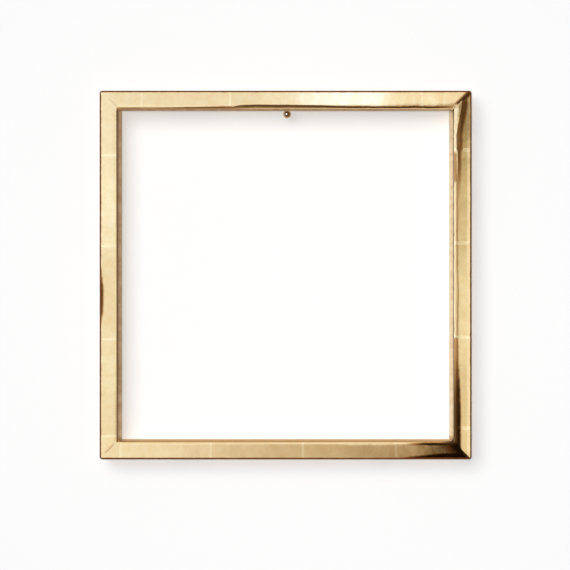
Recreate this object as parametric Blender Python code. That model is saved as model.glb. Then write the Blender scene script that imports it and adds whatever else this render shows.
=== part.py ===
"""Gilded float frame hung on one brass-headed picture nail.

Four mitred rails, each gessoed and gilded, form a deep tray. Four separate ledge strips are pinned in the
rabbet behind the rails' lip and leave a square sight opening. Behind the ledge the rabbet takes a backing
board, which four turn buttons hold in. The frame hangs by its top ledge on the collar of the nail.

Metres, +Z up. The wall is the plane y = 0 and the frame faces -Y. The origin is the point where the nail's
axis enters the wall.
"""

from math import cos, pi, radians, sin, sqrt

import bmesh
import bpy
from mathutils import Matrix, Vector

# Overall sizes
OUTER_WIDTH = 0.337
OUTER_HEIGHT = 0.334
RAIL_WIDTH = 0.0165
RAIL_DEPTH = 0.025
STANDOFF = 0.006  # from the rails' back to the wall
GAP = 0.0003  # kept between pieces that touch

# Rail section
RECESS_DEPTH = 0.013  # the tray in front of the ledge
RABBET_WIDTH = 0.0035
OUTER_EDGE_RADIUS = 0.0020
INNER_EDGE_RADIUS = 0.0024
CROWN_INSET = 0.0120  # where the face is highest, from the rail's outer side
CROWN_DROP = 0.0004  # how far the face falls from there to its outer edge
FACE_STEPS = 6
EDGE_STEPS = 5
OUTER_CORNER_RADIUS = 0.0022  # seen from the front
INNER_CORNER_RADIUS = 0.0035
MITRE_CORNER_RADIUS = 0.0004
CORNER_BLEND = 0.0030  # the width over which a corner radius fades into the mitre
CORNER_STEPS = 4

# Ledge strips
SIGHT_WIDTH = 0.2988
SIGHT_HEIGHT = 0.2996
LEDGE_THICKNESS = 0.006
LEDGE_EDGE_BEVEL = 0.0003

# Picture nail
NAIL_OFFSET = 0.0014  # to the right of the frame's centre line
COLLAR_RADIUS = 0.0030
COLLAR_BACK = 0.0090  # from the wall
FLANGE_RADIUS = 0.0036
FLANGE_THICKNESS = 0.0008
FLANGE_CLEARANCE = 0.0005  # in front of the ledge
DOME_RADIUS = 0.0027
DOME_HEIGHT = 0.0022
DOME_STEPS = 6
PIN_RADIUS = 0.00125
PIN_IN_WALL = 0.020
PIN_POINT = 0.004
PIN_IN_HEAD = 0.006

# Fasteners
SCREW_RADIUS = 0.0014
SCREW_LENGTH = 0.0105
SCREW_POINT = 0.0025
SCREW_HEAD_RADIUS = 0.0029
SCREW_HEAD_HEIGHT = 0.0016
SCREW_HEAD_STEPS = 4
SCREW_SLOT_WIDTH = 0.0006
SCREW_SLOT_DEPTH = 0.0007
LEDGE_PIN_RADIUS = 0.0005
LEDGE_PIN_LENGTH = 0.0095
LEDGE_PIN_SET_BACK = 0.0002  # below the ledge's back face
LEDGE_PIN_SPREAD = 0.100  # from the middle of a strip
V_NAIL_LEG = 0.0036
V_NAIL_THICKNESS = 0.0006
V_NAIL_DEPTH = 0.007
V_NAIL_SET_BACK = 0.0002  # below the wood's back face
V_NAIL_INSETS = {"outer": 0.0052, "inner": 0.0106}  # of the apex, from the rail's outer side

# Strap hangers with their D-rings
HANGER_DROP = 0.085  # of the ring's axis, from the frame's top
STRAP_WIDTH = 0.0075
STRAP_LENGTH = 0.0120  # from the ring's axis to the middle of the rounded end
STRAP_THICKNESS = 0.00085
KNUCKLE_RADIUS = 0.0021
KNUCKLE_BORE = 0.0012
STRAP_INSET = 0.0001  # from the knuckle's back to the strap's
RING_WIRE = 0.0009
RING_HALF_WIDTH = 0.0054
RING_LEG = 0.0066
RING_WIRE_SIDES = 8
RING_BOW_STEPS = 12
HANGER_SCREW_DROP = 0.0060
SCREW_HOLE = 0.0019

# Turn buttons
BUTTON_SPREAD = 0.085  # from the frame's centre line
BUTTON_WIDTH = 0.008
BUTTON_REACH = 0.012  # from its screw to the middle of its rounded tip
BUTTON_THICKNESS = 0.0012
BUTTON_BEVEL = 0.0002

# Wall bumpers
BUMPER_RADIUS = 0.0045
BUMPER_BEVEL = 0.0010
BUMPER_FROM_CORNER = 0.026

ROUND_STEPS = 24
SMALL_ROUND_STEPS = 12

# Places that follow from the sizes
BACK_Y = -STANDOFF
FRONT_Y = BACK_Y - RAIL_DEPTH
LEDGE_FRONT_Y = FRONT_Y + RECESS_DEPTH + GAP
LEDGE_BACK_Y = LEDGE_FRONT_Y + LEDGE_THICKNESS
RECESS_WIDTH = OUTER_WIDTH - 2 * RAIL_WIDTH
RECESS_HEIGHT = OUTER_HEIGHT - 2 * RAIL_WIDTH
RABBET_INSET = RAIL_WIDTH - RABBET_WIDTH
SIDE_REVEAL = (RECESS_WIDTH - SIGHT_WIDTH) / 2
TOP_REVEAL = (RECESS_HEIGHT - SIGHT_HEIGHT) / 2
SIGHT_TOP = COLLAR_RADIUS + GAP
FRAME_X = -NAIL_OFFSET
FRAME_TOP = SIGHT_TOP + TOP_REVEAL + RAIL_WIDTH
FRAME_Z = FRAME_TOP - OUTER_HEIGHT / 2
BACK_MIDDLE = RABBET_INSET / 2  # the middle of a rail's back face, from its outer side
RING_Y = BACK_Y + GAP + KNUCKLE_RADIUS

# Each rail's quarter turns about +Y from the top rail, its length, and the ledge that shows beside it
SIDES = {
    "top": (0, OUTER_WIDTH, TOP_REVEAL),
    "right": (1, OUTER_HEIGHT, SIDE_REVEAL),
    "bottom": (2, OUTER_WIDTH, TOP_REVEAL),
    "left": (3, OUTER_HEIGHT, SIDE_REVEAL),
}
GOLD = ("burnished_gold", (0.90, 0.74, 0.42), 0.25, 1.0)
TONED_GOLD = ("toned_gold", (0.62, 0.50, 0.32), 0.45, 0.7)
BRASS = ("brass", (0.78, 0.57, 0.25), 0.30, 1.0)
ZINC = ("zinc_plate", (0.68, 0.69, 0.70), 0.35, 1.0)
STEEL = ("steel", (0.50, 0.50, 0.51), 0.40, 1.0)
FELT = ("bumper_felt", (0.20, 0.17, 0.14), 0.95, 0.0)


def material(look):
    """The material of this name, made the first time it is asked for."""
    name, colour, roughness, metallic = look
    found = bpy.data.materials.get(name)
    if found:
        return found
    made = bpy.data.materials.new(name)
    made.use_nodes = True
    shader = made.node_tree.nodes["Principled BSDF"]
    shader.inputs["Base Color"].default_value = (*colour, 1.0)
    shader.inputs["Roughness"].default_value = roughness
    shader.inputs["Metallic"].default_value = metallic
    made.diffuse_color = (*colour, 1.0)
    return made


def node(name, bm, look, parent, location=(0, 0, 0), turn=0.0, smooth=False):
    """One named piece from a bmesh, placed under its parent and turned about +Y."""
    bmesh.ops.recalc_face_normals(bm, faces=bm.faces)
    mesh = bpy.data.meshes.new(name)
    bm.to_mesh(mesh)
    bm.free()
    if smooth:
        mesh.shade_smooth()
        mesh.set_sharp_from_angle(angle=radians(40))
    mesh.materials.append(material(look))
    piece = bpy.data.objects.new(name, mesh)
    bpy.context.scene.collection.objects.link(piece)
    piece.parent = parent
    piece.location = location
    piece.rotation_euler = (0, turn, 0)
    return piece


def empty(name, location, parent=None):
    """A joint's axis or a group's origin."""
    made = bpy.data.objects.new(name, None)
    bpy.context.scene.collection.objects.link(made)
    made.location = location
    made.parent = parent
    return made


def cutter(name, bm, parent, location=(0, 0, 0), turn=0.0):
    """A hidden shape for a Boolean."""
    piece = node(name, bm, STEEL, parent, location, turn)
    piece.hide_render = True
    piece.display_type = "WIRE"
    return piece


def cut(piece, *tools):
    for tool in tools:
        boolean = piece.modifiers.new("Cut " + tool.name, "BOOLEAN")
        boolean.operation = "DIFFERENCE"
        boolean.solver = "EXACT"
        boolean.object = tool


def bevel(piece, width, segments=2):
    edges = piece.modifiers.new("Eased edges", "BEVEL")
    edges.width = width
    edges.segments = segments
    edges.limit_method = "ANGLE"
    edges.angle_limit = radians(50)


def prism(outline, low, high):
    """A closed prism along Y over an outline of (x, z) points."""
    bm = bmesh.new()
    face = bm.faces.new([bm.verts.new((x, low, z)) for x, z in outline])
    grown = bmesh.ops.extrude_face_region(bm, geom=[face])
    corners = [item for item in grown["geom"] if isinstance(item, bmesh.types.BMVert)]
    bmesh.ops.translate(bm, verts=corners, vec=(0, high - low, 0))
    return bm


def block(low, high):
    """A closed box between two corners."""
    outline = [(low[0], low[2]), (high[0], low[2]), (high[0], high[2]), (low[0], high[2])]
    return prism(outline, low[1], high[1])


def turned(profile, steps=ROUND_STEPS):
    """A solid of revolution about Y from (y, radius) points, the first and last with radius 0."""
    bm = bmesh.new()
    rings = []
    for y, radius in profile:
        count = steps if radius else 1
        angles = [2 * pi * i / count for i in range(count)]
        rings.append([bm.verts.new((radius * cos(a), y, radius * sin(a))) for a in angles])
    for near, far in zip(rings, rings[1:]):
        for i in range(steps):
            j = (i + 1) % steps
            corners = [near[i % len(near)], near[j % len(near)], far[j % len(far)], far[i % len(far)]]
            bm.faces.new(list(dict.fromkeys(corners)))
    return bm


def cylinder(radius, low, high, steps=SMALL_ROUND_STEPS):
    return turned([(low, 0), (low, radius), (high, radius), (high, 0)], steps)


def capsule(half_width, length, steps=SMALL_ROUND_STEPS):
    """A flat link's outline in (x, z): round about the origin and about (length, 0)."""
    outline = []
    for centre, start in ((0.0, pi / 2), (length, -pi / 2)):
        for i in range(steps + 1):
            angle = start + pi * i / steps
            outline.append((centre + half_width * cos(angle), half_width * sin(angle)))
    return outline


# Rails


def crown(inset):
    """How far the rail's face lies behind its highest line."""
    return CROWN_DROP * ((inset - CROWN_INSET) / (CROWN_INSET - OUTER_EDGE_RADIUS)) ** 2


def corner_radius(inset):
    """The radius in plan of the moulding's corner, at this distance from the outer side."""
    outer = OUTER_CORNER_RADIUS * (1 - inset / CORNER_BLEND)
    inner = INNER_CORNER_RADIUS * (1 - (RAIL_WIDTH - inset) / CORNER_BLEND)
    return max(MITRE_CORNER_RADIUS, outer, inner)


def rail_section():
    """The rail's outline as (inset from the outer side, depth behind the front, corner radius) points."""
    outer_top, inner_top = crown(OUTER_EDGE_RADIUS), crown(RAIL_WIDTH - INNER_EDGE_RADIUS)
    points = [(0.0, RAIL_DEPTH)]
    for i in range(EDGE_STEPS + 1):
        angle = pi / 2 * i / EDGE_STEPS
        points.append(
            (OUTER_EDGE_RADIUS * (1 - cos(angle)), outer_top + OUTER_EDGE_RADIUS * (1 - sin(angle)))
        )
    face = RAIL_WIDTH - INNER_EDGE_RADIUS - OUTER_EDGE_RADIUS
    for i in range(1, FACE_STEPS):
        inset = OUTER_EDGE_RADIUS + face * i / FACE_STEPS
        points.append((inset, crown(inset)))
    for i in range(EDGE_STEPS + 1):
        angle = pi / 2 * i / EDGE_STEPS
        inset = RAIL_WIDTH - INNER_EDGE_RADIUS * (1 - sin(angle))
        points.append((inset, inner_top + INNER_EDGE_RADIUS * (1 - cos(angle))))
    points.append((RAIL_WIDTH, RECESS_DEPTH))
    section = [(inset, depth, corner_radius(inset)) for inset, depth in points]
    section.append((RABBET_INSET, RECESS_DEPTH, MITRE_CORNER_RADIUS))
    section.append((RABBET_INSET, RAIL_DEPTH, MITRE_CORNER_RADIUS))
    return section


def rail_mesh(length):
    """A mitred rail along X, its outer side facing +Z and its origin mid-length on the outer front edge."""
    bm = bmesh.new()
    back_off = GAP / sqrt(2)  # half the mitre's gap, measured along the rail
    loops = []
    for inset, depth, radius in rail_section():
        half = []
        for i in range(CORNER_STEPS + 1):
            angle = radians(45) * (1 - i / CORNER_STEPS)
            along = inset + radius * (1 - sin(angle)) + back_off
            half.append((along, inset + radius * (1 - cos(angle))))
        row = [(along - length / 2, across) for along, across in half]
        row += [(length / 2 - along, across) for along, across in reversed(half)]
        loops.append([bm.verts.new((x, depth, -across)) for x, across in row])
    for near, far in zip(loops, loops[1:] + loops[:1]):
        for i in range(len(near) - 1):
            bm.faces.new((near[i], near[i + 1], far[i + 1], far[i]))
    bm.faces.new([row[0] for row in loops])
    bm.faces.new([row[-1] for row in loops])
    return bm


def v_outline(margin=0.0):
    """The outline of a V-nail whose apex is at the origin and whose legs run towards -X and +Z."""
    half, leg = V_NAIL_THICKNESS / 2 + margin, V_NAIL_LEG + margin
    return [(half, -half), (half, leg), (-half, leg), (-half, half), (-leg, half), (-leg, -half)]


def v_nail_places():
    """(name, x, z, turn) of each V-nail's apex: two on every mitre."""
    corners = (("top_left", -1, 1), ("top_right", 1, 1), ("bottom_right", 1, -1), ("bottom_left", -1, -1))
    for quarter, (corner, across, up) in enumerate(corners):
        for place, inset in V_NAIL_INSETS.items():
            x = FRAME_X + across * (OUTER_WIDTH / 2 - inset)
            z = FRAME_Z + up * (OUTER_HEIGHT / 2 - inset)
            yield f"v_nail_{corner}_{place}", x, z, quarter * pi / 2


def rails(frame):
    made = {}
    for side, (quarter, length, _) in SIDES.items():
        reach = (OUTER_HEIGHT if quarter % 2 == 0 else OUTER_WIDTH) / 2
        turn = quarter * pi / 2
        place = (FRAME_X + reach * sin(turn), FRONT_Y, FRAME_Z + reach * cos(turn))
        made[side] = node(f"{side}_rail", rail_mesh(length), GOLD, frame, place, turn, smooth=True)
    return made


def v_nails(frame, rail):
    """The steel wedges that draw the mitres together, each in a pocket that both rails share."""
    for name, x, z, turn in v_nail_places():
        low = BACK_Y - V_NAIL_DEPTH
        node(name, prism(v_outline(), low, BACK_Y - V_NAIL_SET_BACK), STEEL, frame, (x, 0, z), turn)
        pocket = prism(v_outline(GAP), low - GAP, BACK_Y + STANDOFF)
        tool = cutter(name + "_pocket", pocket, frame, (x, 0, z), turn)
        for side in SIDES:
            if side in name:
                cut(rail[side], tool)


# Ledge


def beside_rail(side, along, inset):
    """World x and z of a point at these distances from a rail's middle and from its outer side."""
    quarter = SIDES[side][0]
    turn = quarter * pi / 2
    reach = (OUTER_HEIGHT if quarter % 2 == 0 else OUTER_WIDTH) / 2 - inset
    return (
        FRAME_X + reach * sin(turn) + along * cos(turn),
        FRAME_Z + reach * cos(turn) - along * sin(turn),
    )


def ledge_pin(name, side, along, frame):
    """A headless steel pin driven from behind through a strip into the rail's lip. Returns its hole."""
    x, z = beside_rail(side, along, RAIL_WIDTH - RABBET_WIDTH / 2)
    end = LEDGE_BACK_Y - LEDGE_PIN_SET_BACK
    point = end - LEDGE_PIN_LENGTH
    radius = LEDGE_PIN_RADIUS
    profile = [(point, 0), (point + radius, radius), (end, radius), (end, 0)]
    node(name, turned(profile, SMALL_ROUND_STEPS), STEEL, frame, (x, 0, z), smooth=True)
    hole = cylinder(radius + GAP, point - GAP, LEDGE_BACK_Y + STANDOFF)
    return cutter(name + "_hole", hole, frame, (x, 0, z))


def ledges(frame, rail):
    """The strips in the rabbet. The top and bottom ones run full width and the others fit between them."""
    for side, (quarter, length, reveal) in SIDES.items():
        turn = quarter * pi / 2
        half = length / 2 - RABBET_INSET - GAP
        if quarter % 2:
            half = SIGHT_HEIGHT / 2 - GAP
        inner = RAIL_WIDTH + reveal
        reach = (OUTER_HEIGHT if quarter % 2 == 0 else OUTER_WIDTH) / 2
        place = (FRAME_X + reach * sin(turn), LEDGE_FRONT_Y, FRAME_Z + reach * cos(turn))
        shape = block((-half, 0, -inner), (half, LEDGE_THICKNESS, -RABBET_INSET - GAP))
        strip = node(f"{side}_ledge", shape, TONED_GOLD, frame, place, turn)
        bevel(strip, LEDGE_EDGE_BEVEL, 1)
        for number, along in enumerate((-LEDGE_PIN_SPREAD, LEDGE_PIN_SPREAD), 1):
            tool = ledge_pin(f"{side}_ledge_pin_{number}", side, along, frame)
            cut(strip, tool)
            cut(rail[side], tool)


# Hardware on the back


def screw(name, look, frame, x, z, under_head, wood):
    """A round-head slotted wood screw driven towards -Y, and its pilot hole in the rail."""
    tip = under_head - SCREW_LENGTH
    profile = [(tip, 0), (tip + SCREW_POINT, SCREW_RADIUS), (under_head, SCREW_RADIUS)]
    for i in range(SCREW_HEAD_STEPS):
        angle = pi / 2 * i / SCREW_HEAD_STEPS
        profile.append((under_head + SCREW_HEAD_HEIGHT * sin(angle), SCREW_HEAD_RADIUS * cos(angle)))
    profile.append((under_head + SCREW_HEAD_HEIGHT, 0))
    piece = node(name, turned(profile, SMALL_ROUND_STEPS), look, frame, (x, 0, z), smooth=True)
    top = under_head + SCREW_HEAD_HEIGHT
    slot = block(
        (-2 * SCREW_HEAD_RADIUS, top - SCREW_SLOT_DEPTH, -SCREW_SLOT_WIDTH / 2),
        (2 * SCREW_HEAD_RADIUS, top + SCREW_SLOT_DEPTH, SCREW_SLOT_WIDTH / 2),
    )
    cut(piece, cutter(name + "_slot", slot, frame, (x, 0, z)))
    pilot = cylinder(SCREW_RADIUS + GAP, tip - GAP, BACK_Y + STANDOFF)
    cut(wood, cutter(name + "_pilot", pilot, frame, (x, 0, z)))


def ring_mesh():
    """A D-ring of round wire. Its straight bar lies on the X axis and it hangs towards -Z."""
    path = [(-RING_HALF_WIDTH, 0.0)]
    for i in range(RING_BOW_STEPS + 1):
        angle = pi + pi * i / RING_BOW_STEPS
        path.append((RING_HALF_WIDTH * cos(angle), -RING_LEG + RING_HALF_WIDTH * sin(angle)))
    path.append((RING_HALF_WIDTH, 0.0))
    bm = bmesh.new()
    rings = []
    for i, point in enumerate(path):
        before, after = Vector(path[i - 1]), Vector(path[(i + 1) % len(path)])
        arriving = (Vector(point) - before).normalized()
        leaving = (after - Vector(point)).normalized()
        side = (arriving + leaving).normalized()
        across = Vector((side.y, -side.x))
        stretch = 1 / max(across.dot(Vector((arriving.y, -arriving.x))), 0.5)
        ring = []
        for j in range(RING_WIRE_SIDES):
            angle = 2 * pi * j / RING_WIRE_SIDES
            offset = across * (RING_WIRE * cos(angle) * stretch)
            ring.append(bm.verts.new((point[0] + offset.x, RING_WIRE * sin(angle), point[1] + offset.y)))
        rings.append(ring)
    for near, far in zip(rings, rings[1:] + rings[:1]):
        for j in range(len(near)):
            k = (j + 1) % len(near)
            bm.faces.new((near[j], near[k], far[k], far[j]))
    return bm


def strap_hanger(side, frame, rail):
    """A folded strap, its screw and the D-ring that swings in its knuckle."""
    x, _ = beside_rail(side, 0, BACK_MIDDLE)
    z = FRAME_TOP - HANGER_DROP
    low = STRAP_INSET - KNUCKLE_RADIUS
    down = Matrix.Rotation(pi / 2, 3, "Y")
    shape = prism(capsule(STRAP_WIDTH / 2, STRAP_LENGTH), low, low + STRAP_THICKNESS)
    bmesh.ops.rotate(shape, verts=shape.verts, matrix=down)
    above = block(
        (-STRAP_WIDTH, low - STRAP_THICKNESS, 0), (STRAP_WIDTH, low + 2 * STRAP_THICKNESS, STRAP_WIDTH)
    )
    strap = node(f"{side}_strap", shape, ZINC, frame, (x, RING_Y, z))
    cut(strap, cutter(f"{side}_strap_end", above, frame, (x, RING_Y, z)))
    across = Matrix.Rotation(pi / 2, 3, "Z")
    half = STRAP_WIDTH / 2
    knuckle = cylinder(KNUCKLE_RADIUS, -half, half, ROUND_STEPS)
    bmesh.ops.rotate(knuckle, verts=knuckle.verts, matrix=across)
    fold = cutter(f"{side}_knuckle", knuckle, frame, (x, RING_Y, z))
    join = strap.modifiers.new("Knuckle", "BOOLEAN")
    join.operation = "UNION"
    join.solver = "EXACT"
    join.object = fold
    bore = cylinder(KNUCKLE_BORE, -2 * half, 2 * half, ROUND_STEPS)
    bmesh.ops.rotate(bore, verts=bore.verts, matrix=across)
    hole = cylinder(SCREW_HOLE, low - STRAP_THICKNESS, low + 2 * STRAP_THICKNESS)
    cut(
        strap,
        cutter(f"{side}_knuckle_bore", bore, frame, (x, RING_Y, z)),
        cutter(f"{side}_strap_hole", hole, frame, (x, RING_Y, z - HANGER_SCREW_DROP)),
    )
    under_head = BACK_Y + 2 * GAP + STRAP_THICKNESS
    screw(f"{side}_strap_screw", ZINC, frame, x, z - HANGER_SCREW_DROP, under_head, rail[side])
    axis = empty(f"{side}_ring_axis", (x, RING_Y, z), frame)
    node(f"{side}_d_ring", ring_mesh(), ZINC, axis, smooth=True)


def turn_button(end, side, frame, rail):
    """A flat brass button parked along the rail, tip towards the nearer corner, and its screw."""
    reach = BUTTON_SPREAD if end == "right" else -BUTTON_SPREAD
    x = FRAME_X + reach
    _, z = beside_rail(side, 0, BACK_MIDDLE)
    low = BACK_Y + GAP
    shape = prism(capsule(BUTTON_WIDTH / 2, BUTTON_REACH), low, low + BUTTON_THICKNESS)
    turn = 0.0 if end == "right" else pi
    button = node(f"{side}_{end}_button", shape, BRASS, frame, (x, 0, z), turn)
    bevel(button, BUTTON_BEVEL, 1)
    hole = cylinder(SCREW_HOLE, low - BUTTON_THICKNESS, low + 2 * BUTTON_THICKNESS)
    cut(button, cutter(f"{side}_{end}_button_hole", hole, frame, (x, 0, z)))
    under_head = low + BUTTON_THICKNESS + GAP
    screw(f"{side}_{end}_button_screw", BRASS, frame, x, z, under_head, rail[side])


def bumpers(frame):
    """Felt discs that keep the frame parallel to the wall."""
    thickness = STANDOFF - GAP
    for end in ("left", "right"):
        x, _ = beside_rail(end, 0, BACK_MIDDLE)
        for place, up in (("upper", 1), ("lower", -1)):
            z = FRAME_Z + up * (OUTER_HEIGHT / 2 - BUMPER_FROM_CORNER)
            profile = [
                (-thickness, 0),
                (-thickness, BUMPER_RADIUS),
                (-BUMPER_BEVEL, BUMPER_RADIUS),
                (0, BUMPER_RADIUS - BUMPER_BEVEL),
                (0, 0),
            ]
            node(f"{place}_{end}_bumper", turned(profile), FELT, frame, (x, 0, z), smooth=True)


# Nail


def picture_nail(wall):
    """A hardened steel pin in the wall and the turned brass head, whose collar carries the frame."""
    flange_back = LEDGE_FRONT_Y - FLANGE_CLEARANCE
    flange_front = flange_back - FLANGE_THICKNESS
    head = [(flange_front - DOME_HEIGHT, 0)]
    for i in range(1, DOME_STEPS + 1):
        angle = pi / 2 * i / DOME_STEPS
        head.append((flange_front - DOME_HEIGHT * cos(angle), DOME_RADIUS * sin(angle)))
    head += [
        (flange_front, FLANGE_RADIUS - FLANGE_THICKNESS / 2),
        (flange_front + FLANGE_THICKNESS / 2, FLANGE_RADIUS),
        (flange_back, FLANGE_RADIUS),
        (flange_back, COLLAR_RADIUS),
        (-COLLAR_BACK, COLLAR_RADIUS),
        (-COLLAR_BACK, 0),
    ]
    brass = node("nail_head", turned(head), BRASS, wall, smooth=True)
    pin_front = -COLLAR_BACK - PIN_IN_HEAD
    socket = cylinder(PIN_RADIUS + GAP, pin_front - GAP, 0)
    cut(brass, cutter("nail_head_socket", socket, wall))
    pin = [
        (pin_front, 0),
        (pin_front, PIN_RADIUS),
        (PIN_IN_WALL - PIN_POINT, PIN_RADIUS),
        (PIN_IN_WALL, 0),
    ]
    node("nail_pin", turned(pin, SMALL_ROUND_STEPS), STEEL, wall, smooth=True)


def build():
    for old in list(bpy.data.objects):
        bpy.data.objects.remove(old, do_unlink=True)
    wall = empty("wall_point", (0, 0, 0))
    frame = empty("frame_swing_axis", (0, 0, 0), wall)
    picture_nail(wall)
    rail = rails(frame)
    v_nails(frame, rail)
    ledges(frame, rail)
    for side in ("left", "right"):
        strap_hanger(side, frame, rail)
    for side in ("top", "bottom"):
        for end in ("left", "right"):
            turn_button(end, side, frame, rail)
    bumpers(frame)


build()
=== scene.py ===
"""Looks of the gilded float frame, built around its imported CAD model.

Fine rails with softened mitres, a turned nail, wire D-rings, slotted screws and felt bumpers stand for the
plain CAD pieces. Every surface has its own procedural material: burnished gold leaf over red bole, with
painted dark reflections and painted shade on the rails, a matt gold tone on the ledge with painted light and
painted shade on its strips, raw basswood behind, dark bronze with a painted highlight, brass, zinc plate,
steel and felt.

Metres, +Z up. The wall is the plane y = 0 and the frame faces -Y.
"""

from math import cos, pi, radians, sin, sqrt

import bmesh  # noqa: E402
import bpy  # noqa: E402
from mathutils import Matrix, Vector, noise  # noqa: E402


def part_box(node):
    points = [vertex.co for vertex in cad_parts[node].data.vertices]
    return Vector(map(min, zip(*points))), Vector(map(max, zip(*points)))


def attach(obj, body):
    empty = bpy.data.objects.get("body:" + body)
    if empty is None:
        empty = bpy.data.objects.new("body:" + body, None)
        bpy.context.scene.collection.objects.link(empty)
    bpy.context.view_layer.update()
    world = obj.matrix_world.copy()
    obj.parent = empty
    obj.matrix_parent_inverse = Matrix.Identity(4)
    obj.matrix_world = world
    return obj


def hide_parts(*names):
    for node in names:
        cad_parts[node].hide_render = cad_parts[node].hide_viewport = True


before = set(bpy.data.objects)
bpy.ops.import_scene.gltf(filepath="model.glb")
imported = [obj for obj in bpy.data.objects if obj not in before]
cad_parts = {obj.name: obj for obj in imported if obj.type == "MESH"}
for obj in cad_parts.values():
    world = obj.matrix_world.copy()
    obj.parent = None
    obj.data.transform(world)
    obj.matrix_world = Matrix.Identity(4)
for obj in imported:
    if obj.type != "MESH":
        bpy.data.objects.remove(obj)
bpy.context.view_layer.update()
MM = 0.001

# Places and sizes, from the frame
TOP_LOW, TOP_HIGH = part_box("top_rail")
BOTTOM_LOW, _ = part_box("bottom_rail")
LEDGE_LOW, LEDGE_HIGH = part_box("top_ledge")
LEFT_X, RIGHT_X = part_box("left_rail")[0].x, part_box("right_rail")[1].x
TOP_Z, BOTTOM_Z = TOP_HIGH.z, BOTTOM_LOW.z
FRONT_Y, BACK_Y = TOP_LOW.y, TOP_HIGH.y
RAIL_DEPTH = BACK_Y - FRONT_Y
GAP = 0.3 * MM  # left between neighbouring pieces
RECESS_DEPTH = LEDGE_LOW.y - GAP - FRONT_Y
RABBET_INSET = TOP_Z - LEDGE_HIGH.z - GAP
RABBET_WIDTH = 3.5 * MM
RAIL_WIDTH = RABBET_INSET + RABBET_WIDTH  # between the corners, where the rail is narrowest

# Rail moulding
OUTER_EDGE_RADIUS = 2.0 * MM
INNER_EDGE_RADIUS = 1.8 * MM
CROWN_INSET = 12.0 * MM  # where the face is highest, from the rail's outer side
CROWN_DROP = 0.4 * MM
OUTER_CORNER_RADIUS = 2.2 * MM  # seen from the front
INNER_CORNER_RADIUS = 3.5 * MM
SOFT_MITRE_RADIUS = 3.0 * MM  # gesso fills the mitre's crease
MITRE_GAP = 0.01 * MM
FACE_STEPS = 16
EDGE_STEPS = 12
CORNER_STEPS = 10
MITRE_ANGLE = radians(45)
SHARP_ANGLE = 35  # degrees: sharper edges stay sharp when a piece is shaded
POCKET_GAP = 0.15 * MM
POCKET_REAR = 0.3 * MM  # how near a V-nail's rear a corner is moved out past the wood
WELD = 0.001 * MM

# Small pieces
ROUND_STEPS = 48
FINE_ROUND_STEPS = 64
POLE_ANGLE = 84  # degrees: where a dome's arc stops, just short of its pole
DOME_STEPS = 14
FLANGE_STEPS = 6
SCREW_HEAD_STEPS = 10
FLANGE_CLEARANCE = 0.5 * MM
FLANGE_THICKNESS = 0.8 * MM
DOME_RADIUS = 2.7 * MM
NAIL_HIGHLIGHT_PLACE = Vector((-0.6 * MM, 0, 0.1 * MM))  # a painted highlight on the nail's dome
NAIL_HIGHLIGHT_RADIUS = 0.72 * MM
COLLAR_RADIUS = 3.0 * MM
GROOVE = 0.15 * MM
PIN_RADIUS = 1.25 * MM
PIN_POINT = 4.0 * MM
PIN_EASE = 0.2 * MM
RING_WIRE = 0.9 * MM
RING_BEND = 1.3 * MM
RING_BEND_STEPS = 6
RING_BOW_STEPS = 28
WIRE_STEPS = 16
WIRE_SHARP_ANGLE = 60
SCREW_RADIUS = 1.4 * MM
SCREW_POINT = 2.5 * MM
SCREW_HEAD_HEIGHT = 1.6 * MM
SLOT_WIDTH = 0.6 * MM
SLOT_DEPTH = 0.7 * MM
SLOT_TURNS = (12, 75, -38, 5)  # degrees: each corner's screw stops at its own angle
BUMPER_EASE = 0.9 * MM
BUMPER_STEPS = 5
BUMPER_RIM = 0.2 * MM
FELT_FUZZ = 0.22 * MM
FELT_TUFT = 900.0  # tufts in a metre
FELT_SHARP_ANGLE = 80
STRAP_EDGE = 0.15 * MM
BUTTON_EDGE = 0.12 * MM
EASED_ANGLE = 50

# Each rail: the corner it is measured from, which way it runs, and which way its inner side lies
RAILS = {
    "top": (Vector((LEFT_X, 0, TOP_Z)), Vector((1, 0, 0)), Vector((0, 0, -1))),
    "right": (Vector((RIGHT_X, 0, TOP_Z)), Vector((0, 0, -1)), Vector((-1, 0, 0))),
    "bottom": (Vector((LEFT_X, 0, BOTTOM_Z)), Vector((1, 0, 0)), Vector((0, 0, 1))),
    "left": (Vector((LEFT_X, 0, TOP_Z)), Vector((0, 0, -1)), Vector((1, 0, 0))),
}
# Where one sheet of leaf laps over the next, along each rail
LEAF_LAPS = {
    "top": (0.0381, 0.1181, 0.2032, 0.2922),
    "right": (0.0535, 0.1380, 0.2231, 0.3054),
    "bottom": (0.0191, 0.1009, 0.1842, 0.2684),
    "left": (0.0584, 0.1407, 0.2249, 0.3127),
}
LAP_WIDTHS = {"top": 2.0 * MM, "right": 3.2 * MM, "bottom": 2.2 * MM, "left": 2.2 * MM}
LAP_STRENGTHS = {"top": 0.40, "right": 0.85, "bottom": 0.55, "left": 0.55}
LENGTHS = {
    "top": RIGHT_X - LEFT_X,
    "right": TOP_Z - BOTTOM_Z,
    "bottom": RIGHT_X - LEFT_X,
    "left": TOP_Z - BOTTOM_Z,
}

# Camera
VIEW_DISTANCE = 2.0
VIEW_WIDTH = 0.5159  # what the camera takes in at the frame's face
VIEW_CENTRE = Vector((-0.0020, 0, -0.1555))
EYE = VIEW_CENTRE + Vector((0, FRONT_Y - VIEW_DISTANCE, 0))
TOWARDS_WALL = (pi / 2, 0, 0)
SENSOR = 36.0
NEAR_CLIP = 0.05
FAR_CLIP = 20.0

# Wall
WALL_HALF_WIDTH = 2.5
WALL_Y = 0.0002  # a hair behind y = 0, so no bumper lies in its plane
WALL_WHITE = (0.8, 0.8, 0.8)
WALL_NOISE = (500.0, 3.0)
WALL_RELIEF = 0.01 * MM

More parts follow.
